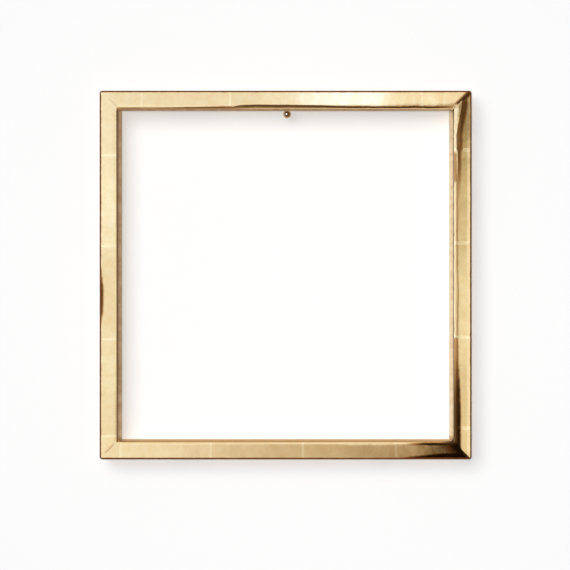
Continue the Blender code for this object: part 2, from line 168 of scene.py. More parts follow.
# Light: the wall comes out just under white
KEY_FROM = (-0.31, -1.0, 0.31)
KEY_SPREAD = 40
KEY_STRENGTH = 1.72
FRONT_WATTS = 25.3
FRONT_SIZE = 0.10
BACK_FROM = (-0.5, 1.0, 0.7)
BACK_SPREAD = 30
BACK_STRENGTH = 2.4
FILL = (0.123, 0.123, 0.123)
PANEL_LIGHT = (1.16, 1.16, 1.16)
BACKDROP = (0.98, 0.98, 0.98)


class Net:
    """Short ways to write a node tree."""

    def __init__(self, tree):
        self.tree = tree
        tree.nodes.clear()

    def put(self, socket, value):
        if isinstance(value, bpy.types.NodeSocket):
            self.tree.links.new(value, socket)
        elif value is not None:
            socket.default_value = value

    def add(self, kind, inputs=(), **settings):
        made = self.tree.nodes.new(kind)
        for name, value in settings.items():
            setattr(made, name, value)
        for name, value in dict(inputs).items():
            self.put(made.inputs[name], value)
        return made

    def math(self, operation, *values):
        return self.add("ShaderNodeMath", dict(enumerate(values)), operation=operation).outputs[0]

    def plus(self, a, b):
        return self.math("ADD", a, b)

    def minus(self, a, b):
        return self.math("SUBTRACT", a, b)

    def apart(self, a, b):
        return self.math("ABSOLUTE", self.minus(a, b))

    def times(self, first, *others):
        for other in others:
            first = self.math("MULTIPLY", first, other)
        return first

    def most(self, first, *others):
        for other in others:
            first = self.math("MAXIMUM", first, other)
        return first

    def shift(self, noise_value, size, start=0.0):
        """Moves a start by up to half a size each way, as a noise about 0.5 says."""
        return self.math("MULTIPLY_ADD", self.minus(noise_value, 0.5), size, start)

    def step(self, value, low, high, start=0.0, end=1.0):
        """Goes smoothly from start to end as value goes from low to high."""
        inputs = {0: value, 1: low, 2: high, 3: start, 4: end}
        return self.add("ShaderNodeMapRange", inputs, interpolation_type="SMOOTHSTEP").outputs[0]

    def window(self, value, start, end, ease):
        """1 between start and end, 0 outside, with soft ends."""
        rising = self.step(value, start - ease, start + ease)
        return self.times(rising, self.step(value, end + ease, end - ease))

    def vector(self, operation, a, b):
        return self.add("ShaderNodeVectorMath", {0: a, 1: b}, operation=operation).outputs[0]

    def dot(self, a, b):
        return self.add("ShaderNodeVectorMath", {0: a, 1: b}, operation="DOT_PRODUCT").outputs["Value"]

    def length(self, a):
        return self.add("ShaderNodeVectorMath", {0: a}, operation="LENGTH").outputs["Value"]

    def parts(self, vector):
        return self.add("ShaderNodeSeparateXYZ", {0: vector}).outputs

    def colour(self, factor, a, b, blend="MIX"):
        inputs = {0: factor, 6: self.rgb(a), 7: self.rgb(b)}
        return self.add("ShaderNodeMix", inputs, data_type="RGBA", blend_type=blend).outputs[2]

    def blend(self, factor, a, b):
        return self.add("ShaderNodeMix", {0: factor, 2: a, 3: b}, data_type="FLOAT").outputs[0]

    @staticmethod
    def rgb(value):
        return (*value, 1.0) if isinstance(value, tuple) and len(value) == 3 else value

    def noise(self, where, scale, detail=3.0, roughness=0.5, distortion=0.0):
        inputs = {"Vector": where, "Scale": scale, "Detail": detail}
        inputs.update({"Roughness": roughness, "Distortion": distortion})
        return self.add("ShaderNodeTexNoise", inputs).outputs[0]

    def stretch(self, where, scale):
        return self.add("ShaderNodeMapping", {"Vector": where, "Scale": scale}).outputs[0]

    def bump(self, height, distance, normal=None, strength=1.0):
        inputs = {"Height": height, "Distance": distance, "Strength": strength, "Normal": normal}
        return self.add("ShaderNodeBump", inputs).outputs[0]

    def place(self):
        """The point's place on the object at rest, in metres."""
        return self.add("ShaderNodeTexCoord").outputs["Object"]

    def surface(self, **values):
        names = {name.replace("_", " "): value for name, value in values.items()}
        shader = self.add("ShaderNodeBsdfPrincipled", names)
        self.add("ShaderNodeOutputMaterial", {"Surface": shader.outputs[0]})


def new_material(name):
    made = bpy.data.materials.new(name)
    made.use_nodes = True
    return made, Net(made.node_tree)


# Materials
#
# A soft edge is (from, to) or (from, to, value at the first, value at the second).
# A soft band is (from, to, how far each end is eased). A noise is (scale, detail, roughness, distortion).
# Places along a rail and insets from its outer side are in metres.

GOLD_PALE = (0.88, 0.69, 0.37)
GOLD_DEEP = (0.85, 0.63, 0.31)
LAP_GOLD = (1.0, 0.83, 0.48)
GOLD_SHADE = (0.55, 0.36, 0.14)
BOLE_RED = (0.18, 0.052, 0.013)
BOLE_BROWN = (0.095, 0.030, 0.008)
# Colours of the painted dark reflections and painted shade on the rails: warm brown where faint, deep brown
# where strong
PAINTED_SHADE_WARM = (0.46, 0.23, 0.075)
PAINTED_SHADE_DEEP = (0.055, 0.026, 0.007)
GESSO = (0.78, 0.74, 0.66)
WOOD_PALE = (0.66, 0.49, 0.31)
WOOD_DARK = (0.50, 0.34, 0.19)

GRAIN_ALONG = 9.0  # bands of grain in a metre, along it and across it
GRAIN_ACROSS = 160.0
FIBRE_FINENESS = 6.0  # how much finer the fibres are than the grain's bands
BAND_NOISE = (1.6, 4.0, 0.6, 0.6)
FIBRE_NOISE = (1.5, 3.0, 0.7)
BAND_EDGE = (0.35, 0.68)
FIBRE_EDGE = (0.5, 0.8, 0.0, 0.35)
BAND_HEIGHT = 0.5  # against a fibre's


def wood_grain(net, where, along):
    """Colour and height of raw basswood whose grain runs along a direction."""
    scale = tuple(GRAIN_ALONG if part else GRAIN_ACROSS for part in along)
    band = net.noise(net.stretch(where, scale), *BAND_NOISE)
    fibre = net.noise(net.stretch(where, tuple(FIBRE_FINENESS * part for part in scale)), *FIBRE_NOISE)
    colour = net.colour(net.step(band, *BAND_EDGE), WOOD_PALE, WOOD_DARK)
    colour = net.colour(net.step(fibre, *FIBRE_EDGE), colour, WOOD_DARK)
    return colour, net.plus(net.times(band, BAND_HEIGHT), fibre)


BROAD_NOISE = (15.0, 1.0)
RIPPLE_NOISE = (70.0, 2.0)
PATCH_NOISE = (210.0, 4.0, 0.6)
FINE_NOISE = (1300.0, 3.0, 0.7)
WANDER_NOISE = (320.0, 3.0)
WANDER = 2.2 * MM
RIPPLE_WAVER = 1.2 * MM
PATCH_WAVER = 0.8 * MM


class RailPlace:
    """Where a point lies on a rail at rest, and the noises that the rail's coatings share."""

    def __init__(self, net, side):
        corner, self.axis, inset_axis = RAILS[side]
        self.side = side
        self.where = net.place()
        from_corner = net.vector("SUBTRACT", self.where, tuple(corner))
        along = net.dot(from_corner, tuple(self.axis))
        self.inset = net.dot(from_corner, tuple(inset_axis))
        self.depth = net.minus(net.parts(self.where)[1], FRONT_Y)
        self.to_start = net.minus(along, self.inset)
        self.to_end = net.minus(net.minus(LENGTHS[side], along), self.inset)
        self.broad = net.noise(self.where, *BROAD_NOISE)
        self.ripple = net.noise(self.where, *RIPPLE_NOISE)
        self.patchy = net.noise(self.where, *PATCH_NOISE)
        self.fine = net.noise(self.where, *FINE_NOISE)
        # The same places, a little uneven, for the leaf laid on by hand and for the painted shade
        self.wandering = net.shift(net.noise(self.where, *WANDER_NOISE), WANDER, along)
        self.wavering = net.shift(self.patchy, PATCH_WAVER, net.shift(self.ripple, RIPPLE_WAVER, self.inset))


# Painted dark reflections and faint painted shade on the top rail
TOP_MITRE = (6.0 * MM, 0.8 * MM, 0.0, 0.95)
TOP_MITRE_END = (13.5 * MM, 11.0 * MM)
WAVE_CREST = (0.098, 0.134, 18.0 * MM, 12.6 * MM)
WAVE_FALL = (0.150, 0.260, 0.0, 1.6 * MM)
WAVE_EDGE = (-0.4 * MM, 0.5 * MM)
WAVE_BACK = (0.130, 0.270, 14.9 * MM, 15.8 * MM)
WAVE_BACK_EDGE = (0.4 * MM, -0.3 * MM)
WAVE_STRENGTH = (0.330, 0.300, 0.0, 0.86)
FAINT_MITRE = (0.4 * MM, 2.4 * MM, 0.5 * MM)
FAINT_STRENGTH = (2.0 * MM, 9.0 * MM, 0.0, 0.20)
SHADE_LINE = (0.040, 0.112, 15.9 * MM, 14.1 * MM)
SHADE_EDGE = (-0.3 * MM, 0.3 * MM)
SHADE_STRENGTH = (0.105, 0.145, 0.60, 0.22)


def top_painted_shade(net, at):
    """Painted dark reflections along the right mitre, in a wave along the inner arris and in a line on the
    inner arris towards the left end, with faint painted shade on the left mitre.
    """
    along = at.wandering
    inset = at.wavering
    mitre = net.times(net.step(at.to_end, *TOP_MITRE), net.step(inset, *TOP_MITRE_END))
    crest = net.plus(net.step(along, *WAVE_CREST), net.step(along, *WAVE_FALL))
    wave = net.step(net.minus(inset, crest), *WAVE_EDGE)
    past_wave = net.minus(inset, net.step(along, *WAVE_BACK))
    wave = net.times(wave, net.step(past_wave, *WAVE_BACK_EDGE), net.step(along, *WAVE_STRENGTH))
    faint = net.times(net.window(at.to_start, *FAINT_MITRE), net.step(inset, *FAINT_STRENGTH))
    shade = net.step(net.minus(inset, net.step(along, *SHADE_LINE)), *SHADE_EDGE)
    shade = net.times(shade, net.step(along, *SHADE_STRENGTH))
    return net.most(mitre, wave, faint, shade)


# Painted dark reflections on the right rail
STREAK_LINE = (9.0 * MM, 42.0 * MM, 6.8 * MM, 11.6 * MM)
STREAK_HALF_WIDTH = (52.0 * MM, 57.0 * MM, 2.3 * MM, 1.1 * MM)
STREAK_INNER_EDGE = (0.6 * MM, -0.5 * MM)
STREAK_OUTER_EDGE = (-2.6 * MM, 0.8 * MM)
STREAK_STRENGTH = (110.0 * MM, 54.0 * MM, 0.0, 0.71)
COPPER_INSET = 10.9 * MM
COPPER_EDGE = (0.65 * MM, 0.20 * MM)
COPPER_SPAN = (0.024, 0.051, 0.004)
COPPER_STRENGTH = 0.42
RIGHT_MITRE = (5.0 * MM, 1.2 * MM)
RIGHT_MITRE_END = (10.5 * MM, 7.5 * MM, 0.0, 0.95)
# A painted dark reflection on the inner arris near the top
ARRIS_PAINTED_SHADE = (13.3 * MM, 14.2 * MM, 0.0, 0.50)
ARRIS_PAINTED_SHADE_SPAN = (0.0555, 0.083, 0.003)
LOW_LINE = (0.225, 0.296, 13.3 * MM, 10.9 * MM)
LOW_EDGE = (-2.5 * MM, 0.8 * MM)
LOW_START = (0.2216, 0.2246)
LOW_STRENGTH = (0.225, 0.290, 0.46, 0.87)
FINE_LINE = (15.75 * MM, 16.05 * MM, 0.0, 0.82)
INNER_RIM = (12.6 * MM, 15.2 * MM, 0.4 * MM)
INNER_RIM_STRENGTH = 0.17


def right_painted_shade(net, at):
    """Painted dark reflections: a streak off the top mitre with a paler copper line in it, the mitre itself,
    dark lines on the inner arris, and the arris and inner face below the third lap.
    """
    along = at.wandering
    inset = at.wavering
    off_streak = net.minus(inset, net.step(along, *STREAK_LINE))
    half = net.step(along, *STREAK_HALF_WIDTH)
    inner_side = net.step(net.minus(off_streak, half), *STREAK_INNER_EDGE)
    outer_side = net.step(net.plus(off_streak, half), *STREAK_OUTER_EDGE)
    copper = net.step(net.apart(inset, COPPER_INSET), *COPPER_EDGE)
    copper = net.times(copper, net.window(along, *COPPER_SPAN), COPPER_STRENGTH)
    streak = net.times(inner_side, outer_side, net.step(along, *STREAK_STRENGTH), net.minus(1.0, copper))
    mitre = net.times(net.step(at.to_start, *RIGHT_MITRE), net.step(inset, *RIGHT_MITRE_END))
    arris = net.times(net.step(inset, *ARRIS_PAINTED_SHADE), net.window(along, *ARRIS_PAINTED_SHADE_SPAN))
    low = net.step(net.minus(inset, net.step(along, *LOW_LINE)), *LOW_EDGE)
    low = net.times(low, net.step(along, *LOW_START), net.step(along, *LOW_STRENGTH))
    rim = net.times(net.window(inset, *INNER_RIM), INNER_RIM_STRENGTH)
    return net.most(streak, mitre, rim, arris, low, net.step(inset, *FINE_LINE))


# Painted dark reflections on the bottom rail
OUTER_ARRIS_LINE = (0.265, 0.325, 1.2 * MM, 6.2 * MM)
OUTER_ARRIS_EDGE = (1.5 * MM, -1.1 * MM)
OUTER_ARRIS_STRENGTH = (0.250, 0.285, 0.0, 0.96)
INNER_ARRIS_BAND = (12.9 * MM, 15.4 * MM, 0.4 * MM)
INNER_ARRIS_STRENGTH = (0.270, 0.300, 0.0, 0.92)
BOTTOM_MITRE = (24.0 * MM, 1.0 * MM, 0.0, 0.96)


def bottom_painted_shade(net, at):
    """Painted dark reflections along both arrises and over the right mitre."""
    along = at.wandering
    inset = at.wavering
    outer = net.step(net.minus(inset, net.step(along, *OUTER_ARRIS_LINE)), *OUTER_ARRIS_EDGE)
    outer = net.times(outer, net.step(along, *OUTER_ARRIS_STRENGTH))
    inner = net.times(net.window(inset, *INNER_ARRIS_BAND), net.step(along, *INNER_ARRIS_STRENGTH))
    return net.most(outer, inner, net.step(at.to_end, *BOTTOM_MITRE))


# A painted dark reflection half-way down the left rail's outer arris
DARK_REFLECTION_PLACE = 0.187
DARK_REFLECTION_REACH = (0.038, 0.004)
DARK_REFLECTION_WIDTH = 3.3 * MM
DARK_REFLECTION_EDGE = (1.9 * MM, -1.7 * MM)
DARK_REFLECTION_STRENGTH = (0.0, 0.35, 0.0, 0.97)
# Darkening along the left rail's lower mitre
LOWER_MITRE_DARKENING = (4.6 * MM, 0.0, 0.0, 0.34)
LOWER_MITRE_DARKENING_BAND = (5.0 * MM, 13.2 * MM, 1.4 * MM)


def left_painted_shade(net, at):
    """A painted dark reflection half-way down the outer arris, and a darker band along the lower mitre."""
    swell = net.step(net.apart(at.wandering, DARK_REFLECTION_PLACE), *DARK_REFLECTION_REACH)
    wear_and_painted_reflection = net.step(net.minus(at.wavering, net.times(swell, DARK_REFLECTION_WIDTH)), *DARK_REFLECTION_EDGE)
    wear_and_painted_reflection = net.times(wear_and_painted_reflection, net.step(swell, *DARK_REFLECTION_STRENGTH))
    lower_mitre_darkening = net.times(net.step(at.to_end, *LOWER_MITRE_DARKENING), net.window(at.wavering, *LOWER_MITRE_DARKENING_BAND))
    return net.most(wear_and_painted_reflection, lower_mitre_darkening)


PAINTED_SHADE_MARKS = {"top": top_painted_shade, "right": right_painted_shade, "bottom": bottom_painted_shade, "left": left_painted_shade}
# How far behind the front a rail's own painted dark reflections go
PAINTED_SHADE_DEPTHS = {"top": 2.6 * MM, "right": 4.5 * MM, "bottom": 2.6 * MM, "left": 2.6 * MM}
PAINTED_SHADE_FADE = 0.6 * MM
# Painted shade all along a rail's inner side, and how much of its rounded edge the painted shade takes in
LIP_PAINTED_SHADES = {"top": 0.10, "right": 0.92, "bottom": 0.50, "left": 0.74}
LIP_WIDTHS = {"top": 0.5 * MM, "right": 0.5 * MM, "bottom": 1.1 * MM, "left": 1.3 * MM}
LIP_FADE = 0.3 * MM
PAINTED_SHADE_WARM_EDGE = (0.0, 0.55)
PAINTED_SHADE_DEEP_EDGE = (0.40, 1.0)


def with_painted_shade(net, at, gold):
    """Gold with painted dark reflections and painted shade: a warm brown where faint and a deep brown where
    strong.
    """
    depth = PAINTED_SHADE_DEPTHS[at.side]
    front = net.minus(1.0, net.step(at.depth, depth, depth + PAINTED_SHADE_FADE))
    lip_shade = RAIL_WIDTH - LIP_WIDTHS[at.side]
    lip_shade = net.step(at.inset, lip_shade, lip_shade + LIP_FADE, 0.0, LIP_PAINTED_SHADES[at.side])
    # The rail's painted dark reflections near its front, and the painted shade along its inner side
    tone = net.most(net.times(PAINTED_SHADE_MARKS[at.side](net, at), front), lip_shade)
    gold = net.colour(net.step(tone, *PAINTED_SHADE_WARM_EDGE), gold, PAINTED_SHADE_WARM)
    return net.colour(net.step(tone, *PAINTED_SHADE_DEEP_EDGE), gold, PAINTED_SHADE_DEEP)


LAP_EASE = 0.25 * MM
LAP_PATCHES = (0.22, 0.50, 0.5, 1.0)
GOLD_CLOUDS = (0.30, 0.70)
GOLD_SPECKS = (0.35, 0.75, 0.0, 0.25)
SHEET_SHADE = 0.10


def leaf_laps(net, at):
    """How much a point lies in a lap of the leaf, and the number of its sheet along the rail."""
    half = LAP_WIDTHS[at.side] / 2
    lap = 0.0
    sheet = 0.0
    for place in LEAF_LAPS[at.side]:
        past = net.minus(at.wandering, place)
        one = net.step(net.math("ABSOLUTE", past), half + LAP_EASE, half - LAP_EASE)
        lap = net.most(lap, one)
        sheet = net.plus(sheet, net.math("GREATER_THAN", past, 0.0))
    return net.times(lap, net.step(at.patchy, *LAP_PATCHES)), sheet


def leaf_gold(net, at, lap, sheet):
    """Cloudy gold leaf: each sheet has its own tone, and it is doubled where two sheets lap."""
    tone = net.add("ShaderNodeTexWhiteNoise", {"W": sheet}, noise_dimensions="1D").outputs["Value"]
    gold = net.colour(net.step(at.patchy, *GOLD_CLOUDS), GOLD_DEEP, GOLD_PALE)
    gold = net.colour(net.step(at.fine, *GOLD_SPECKS), gold, GOLD_PALE)
    gold = net.colour(net.times(tone, SHEET_SHADE), gold, GOLD_SHADE)
    return net.colour(net.times(lap, LAP_STRENGTHS[at.side]), gold, LAP_GOLD)


RAGGED = 0.8 * MM
RUBBED_EDGE = (1.75 * MM, 1.40 * MM)
FLANK_EDGE = (0.8 * MM, 2.0 * MM)
OUTSIDE_EDGE = (0.30 * MM, 0.12 * MM)
THIN_LEAF = (0.30, 0.62, 0.30, 0.88)


def worn_through(net, at):
    """Where bole shows: handling has rubbed the outer arris, and the outer side's leaf is thin."""
    ragged = net.shift(at.patchy, RAGGED)
    rubbed = net.step(net.plus(at.inset, ragged), *RUBBED_EDGE)
    flank = net.step(net.plus(at.depth, ragged), *FLANK_EDGE)
    outside = net.step(at.inset, *OUTSIDE_EDGE)
    return net.most(rubbed, net.times(flank, outside, net.step(at.patchy, *THIN_LEAF)))


SPILL_NOISE = (160.0, 4.0)
SPILL = 4.0 * MM
GESSO_EDGE = (RAIL_DEPTH - 2.6 * MM, RAIL_DEPTH - 2.2 * MM)
BACK_EDGE = (RAIL_DEPTH - 1.5 * MM, RAIL_DEPTH - 1.2 * MM)
RABBET_EDGE = (RABBET_INSET - 0.1 * MM, RABBET_INSET - 0.02 * MM)
RECESS_EDGE = (RECESS_DEPTH - 0.3 * MM, RECESS_DEPTH - 0.05 * MM)


def ungilded(net, at):
    """Where the gesso's ragged end shows on the outer side, and where the wood is bare."""
    end = net.plus(at.depth, net.shift(net.noise(at.where, *SPILL_NOISE), SPILL))
    rabbet = net.times(net.step(at.inset, *RABBET_EDGE), net.step(at.depth, *RECESS_EDGE))
    return net.step(end, *GESSO_EDGE), net.most(net.step(end, *BACK_EDGE), rabbet)


BOLE_EDGE = (0.3, 0.7)
LEAF_SHINE = (0.2, 0.8, 0.05, 0.09)  # roughness
LAP_ROUGHER = 0.04
BOLE_ROUGHNESS = 0.42
WOOD_ROUGHNESS = 0.8
LAP_RELIEF = 0.4
BROAD_RELIEF = 0.50 * MM
RIPPLE_RELIEF = 0.05 * MM
CRINKLE_RELIEF = 0.004 * MM
GRAIN_RELIEF = 0.10 * MM
RAIL_SPECULAR = 0.04


def gilded_wood(side):
    """Burnished leaf on bole and gesso in front, with painted dark reflections and painted shade, bare wood
    on the back and in the rabbet.
    """
    made, net = new_material(f"gold_leaf_{side}")
    at = RailPlace(net, side)
    lap, sheet = leaf_laps(net, at)
    wear_and_painted_reflection = worn_through(net, at)
    gesso, bare = ungilded(net, at)
    dull = net.most(gesso, bare)
    wood, grain = wood_grain(net, at.where, at.axis)

    bole = net.colour(net.step(at.fine, *BOLE_EDGE), BOLE_BROWN, BOLE_RED)
    colour = net.colour(wear_and_painted_reflection, with_painted_shade(net, at, leaf_gold(net, at, lap, sheet)), bole)
    colour = net.colour(gesso, colour, GESSO)
    colour = net.colour(bare, colour, wood)
    metallic = net.minus(1.0, net.most(wear_and_painted_reflection, dull))
    rough = net.plus(net.step(at.fine, *LEAF_SHINE), net.times(lap, LAP_ROUGHER))
    rough = net.blend(wear_and_painted_reflection, rough, BOLE_ROUGHNESS)
    rough = net.blend(dull, rough, WOOD_ROUGHNESS)

    gilded = net.minus(1.0, dull)
    normal = net.bump(at.broad, BROAD_RELIEF, strength=gilded)
    normal = net.bump(at.ripple, RIPPLE_RELIEF, normal, strength=gilded)
    crinkle = net.plus(at.patchy, net.times(lap, LAP_RELIEF))
    normal = net.bump(crinkle, CRINKLE_RELIEF, normal)
    normal = net.bump(grain, GRAIN_RELIEF, normal, strength=bare)
    net.surface(
        Base_Color=colour, Metallic=metallic, Roughness=rough, Normal=normal, Specular_IOR_Level=RAIL_SPECULAR
    )
    return made


LEDGE_PATCH_NOISE = (160.0, 4.0, 0.6)
LEDGE_FINE_NOISE = (1100.0, 3.0, 0.7)
# Lit and shaded copies of one gold: painted shade on the top and left strips, painted light on the right and
# bottom ones, and more painted shade low on the bottom strip
LEDGE_PAINTED_LIGHT_GOLD = ((0.68, 0.50, 0.29), (0.78, 0.64, 0.44))
LEDGE_PAINTED_SHADE_BROWN = ((0.40, 0.255, 0.135), (0.52, 0.36, 0.215))
LEDGE_PAINTED_SHADE_DEEP_GOLD = (0.52, 0.33, 0.14)
LEDGE_SPECK = (0.42, 0.26, 0.12)
LEDGE_CLOUDS = (0.3, 0.7)
LEDGE_SPECKS = (0.55, 0.85, 0.0, 0.3)
LEDGE_SHADE_CHANGE = (-0.07, 0.07)  # metres either side of the diagonal from lower left to upper right, where painted shade turns to painted light
LEDGE_SHADE_CHANGE_UNEVEN = 0.05
LOW_STRIP_SHADE_EDGE = (BOTTOM_Z + 22 * MM, BOTTOM_Z + 19 * MM)
LEDGE_ROUGHNESS = (0.2, 0.8, 0.42, 0.58)
LEDGE_PATCH_RELIEF = 0.05 * MM
LEDGE_FINE_RELIEF = 0.02 * MM
LEDGE_METALLIC = 0.12
LEDGE_SPECULAR = 0.25


def toned_gold_and_painted_shade():
    """The ledge's matt gold: painted shade in warm brown on the top and left strips, painted light on the
    right one, and painted shade in deep gold on the bottom one.
    """
    made, net = new_material("toned_gold_ledge_painted_shade")
    where = net.place()
    patchy = net.noise(where, *LEDGE_PATCH_NOISE)
    fine = net.noise(where, *LEDGE_FINE_NOISE)
    x, _, z = net.parts(where)
    middle_slant = (LEFT_X + RIGHT_X) / 2 - (TOP_Z + BOTTOM_Z) / 2
    slant = net.minus(net.minus(x, z), middle_slant)
    # Painted shade above and left of the diagonal, painted light below and right of it
    lit_side = net.step(net.shift(patchy, LEDGE_SHADE_CHANGE_UNEVEN, slant), *LEDGE_SHADE_CHANGE)
    clouds = net.step(patchy, *LEDGE_CLOUDS)
    # The lit copy, turning to painted shade low on the bottom strip
    light = net.colour(net.step(z, *LOW_STRIP_SHADE_EDGE), net.colour(clouds, *LEDGE_PAINTED_LIGHT_GOLD), LEDGE_PAINTED_SHADE_DEEP_GOLD)
    colour = net.colour(lit_side, net.colour(clouds, *LEDGE_PAINTED_SHADE_BROWN), light)
    colour = net.colour(net.step(fine, *LEDGE_SPECKS), colour, LEDGE_SPECK)
    rough = net.step(fine, *LEDGE_ROUGHNESS)
    normal = net.bump(fine, LEDGE_FINE_RELIEF, net.bump(patchy, LEDGE_PATCH_RELIEF))
    net.surface(
        Base_Color=colour,
        Metallic=LEDGE_METALLIC,
        Roughness=rough,
        Normal=normal,
        Specular_IOR_Level=LEDGE_SPECULAR,
    )
    return made


METAL_CLOUD_NOISE = (200.0, 4.0, 0.6)
METAL_FINE_NOISE = (2400.0, 3.0, 0.6)
METAL_RELIEF = 0.006 * MM
TARNISH = (0.42, 0.72, 0.0, 0.5)
DULLED = (0.45, 0.75, 0.0, 0.12)
BRASS = ((0.80, 0.58, 0.28), (0.40, 0.24, 0.10))
BRASS_ROUGHNESS = (0.20, 0.34)
STEEL = ((0.46, 0.46, 0.47), (0.18, 0.15, 0.13))
STEEL_ROUGHNESS = (0.28, 0.45)


def plain_metal(name, colours, roughness):
    """A metal with a fine grain, cloudy tarnish and slightly dulled patches."""
    made, net = new_material(name)
    where = net.place()
    cloud = net.noise(where, *METAL_CLOUD_NOISE)
    fine = net.noise(where, *METAL_FINE_NOISE)
    colour = net.colour(net.step(cloud, *TARNISH), *colours)
    rough = net.plus(net.blend(fine, *roughness), net.step(cloud, *DULLED))
    net.surface(Base_Color=colour, Metallic=1.0, Roughness=rough, Normal=net.bump(fine, METAL_RELIEF))
    return made


NAIL_CLOUD_NOISE = (220.0, 4.0, 0.6)
NAIL_CLOUDS = (0.40, 0.70)
# The dome's dark bronze, partly a painted dark reflection
NAIL_DARK_AND_PAINTED_REFLECTION = ((0.20, 0.09, 0.030), (0.09, 0.035, 0.012))
NAIL_BRIGHT = ((0.70, 0.53, 0.29), (0.46, 0.29, 0.12))
# A near-white painted highlight on the dome
NAIL_PAINTED_HIGHLIGHT = (0.93, 0.96, 1.0)
NAIL_RIM_EDGE = (DOME_RADIUS - 0.25 * MM, DOME_RADIUS + 0.10 * MM)
NAIL_HIGHLIGHT_EDGE = (NAIL_HIGHLIGHT_RADIUS + 0.15 * MM, NAIL_HIGHLIGHT_RADIUS - 0.15 * MM)
NAIL_ROUGHNESS = (0.08, 0.16)
NAIL_RIM_ROUGHER = 0.16
NAIL_RELIEF = 0.004 * MM


def off_axis(net, where, centre):
    """How far a point is from the line along Y through a centre."""
    across, _, up = net.parts(net.vector("SUBTRACT", where, tuple(centre)))
    return net.length(net.add("ShaderNodeCombineXYZ", {0: across, 2: up}).outputs[0])


def nail_bronze():
    """A dark bronze dome, partly a painted dark reflection, with a painted highlight; its rim and flange
    rubbed back to bright brass.
    """
    made, net = new_material("dark_bronze")
    where = net.place()
    centre = middle("nail_head")
    fine = net.noise(where, *METAL_FINE_NOISE)
    clouds = net.step(net.noise(where, *NAIL_CLOUD_NOISE), *NAIL_CLOUDS)
    # A painted highlight on the dome, off towards the key light
    painted_highlight = net.step(off_axis(net, where, centre + NAIL_HIGHLIGHT_PLACE), *NAIL_HIGHLIGHT_EDGE)
    # Dark bronze, partly a painted dark reflection, under the painted highlight
    dark = net.colour(painted_highlight, net.colour(clouds, *NAIL_DARK_AND_PAINTED_REFLECTION), NAIL_PAINTED_HIGHLIGHT)
    rim = net.step(off_axis(net, where, centre), *NAIL_RIM_EDGE)
    colour = net.colour(rim, dark, net.colour(clouds, *NAIL_BRIGHT))
    rough = net.plus(net.blend(fine, *NAIL_ROUGHNESS), net.times(rim, NAIL_RIM_ROUGHER))
    net.surface(Base_Color=colour, Metallic=1.0, Roughness=rough, Normal=net.bump(fine, NAIL_RELIEF))
    return made


SPANGLE_SCALE = 700.0
SPANGLE_STRENGTH = 0.12
ZINC_TINT_NOISE = (240.0, 3.0)
ZINC_FINE_NOISE = (2500.0, 3.0, 0.6)
ZINC_TINTS = ((0.60, 0.63, 0.68), (0.74, 0.71, 0.62))
ZINC_TINT_EDGE = (0.35, 0.65)
ZINC_ROUGHNESS = (0.24, 0.42)
ZINC_RELIEF = 0.008 * MM


def zinc_plate():
    """Bright zinc plate with its faint yellow and blue passivation spangle."""
    made, net = new_material("zinc_plate_metal")
    where = net.place()
    cells = net.add("ShaderNodeTexVoronoi", {"Vector": where, "Scale": SPANGLE_SCALE})
    tint = net.step(net.noise(where, *ZINC_TINT_NOISE), *ZINC_TINT_EDGE)
    colour = net.colour(SPANGLE_STRENGTH, net.colour(tint, *ZINC_TINTS), cells.outputs["Color"])
    fine = net.noise(where, *ZINC_FINE_NOISE)
    rough = net.blend(fine, *ZINC_ROUGHNESS)
    net.surface(Base_Color=colour, Metallic=1.0, Roughness=rough, Normal=net.bump(fine, ZINC_RELIEF))
    return made


TANGLE_NOISE = (900.0, 5.0, 0.75, 1.2)
CLUMP_NOISE = (260.0, 3.0)
FELT_COLOURS = ((0.050, 0.040, 0.032), (0.19, 0.16, 0.13))
FELT_PALE = (0.26, 0.23, 0.19)
TANGLE_EDGE = (0.3, 0.75)
CLUMP_EDGE = (0.4, 0.7, 0.0, 0.4)
FELT_RELIEF = 0.25 * MM
FELT_ROUGHNESS = 0.95
FELT_SHEEN = 0.5


def felt():
    """Dark brown felt, paler in clumps."""
    made, net = new_material("bumper_felt_fibre")
    where = net.place()
    tangle = net.noise(where, *TANGLE_NOISE)
    colour = net.colour(net.step(tangle, *TANGLE_EDGE), *FELT_COLOURS)
    colour = net.colour(net.step(net.noise(where, *CLUMP_NOISE), *CLUMP_EDGE), colour, FELT_PALE)
    net.surface(
        Base_Color=colour,
        Roughness=FELT_ROUGHNESS,
        Normal=net.bump(tangle, FELT_RELIEF),
        Sheen_Weight=FELT_SHEEN,
        Sheen_Roughness=FELT_SHEEN,
    )
    return made


# Pieces


def finish_piece(name, bm, look, body, nodes, angle=SHARP_ANGLE):
    """Makes one named, smooth piece from a bmesh. It rides its body and stands for CAD nodes."""
    bmesh.ops.recalc_face_normals(bm, faces=bm.faces)
    mesh = bpy.data.meshes.new(name)
    bm.to_mesh(mesh)
    bm.free()
    mesh.shade_smooth()
    mesh.set_sharp_from_angle(angle=radians(angle))
    mesh.materials.append(look)
    piece = bpy.data.objects.new(name, mesh)
    bpy.context.scene.collection.objects.link(piece)
    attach(piece, body)
    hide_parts(*nodes)
    return piece


def crown(inset):
    """How far the rail's face lies behind its highest line."""
    return CROWN_DROP * ((inset - CROWN_INSET) / (CROWN_INSET - OUTER_EDGE_RADIUS)) ** 2


def corner_radius(inset):
    """The moulding corner's radius in plan: a soft mitre between the outer and inner corners."""
    share = inset / RAIL_WIDTH
    ends = OUTER_CORNER_RADIUS + (INNER_CORNER_RADIUS - OUTER_CORNER_RADIUS) * share
    return ends + (SOFT_MITRE_RADIUS - ends) * sin(pi * share)


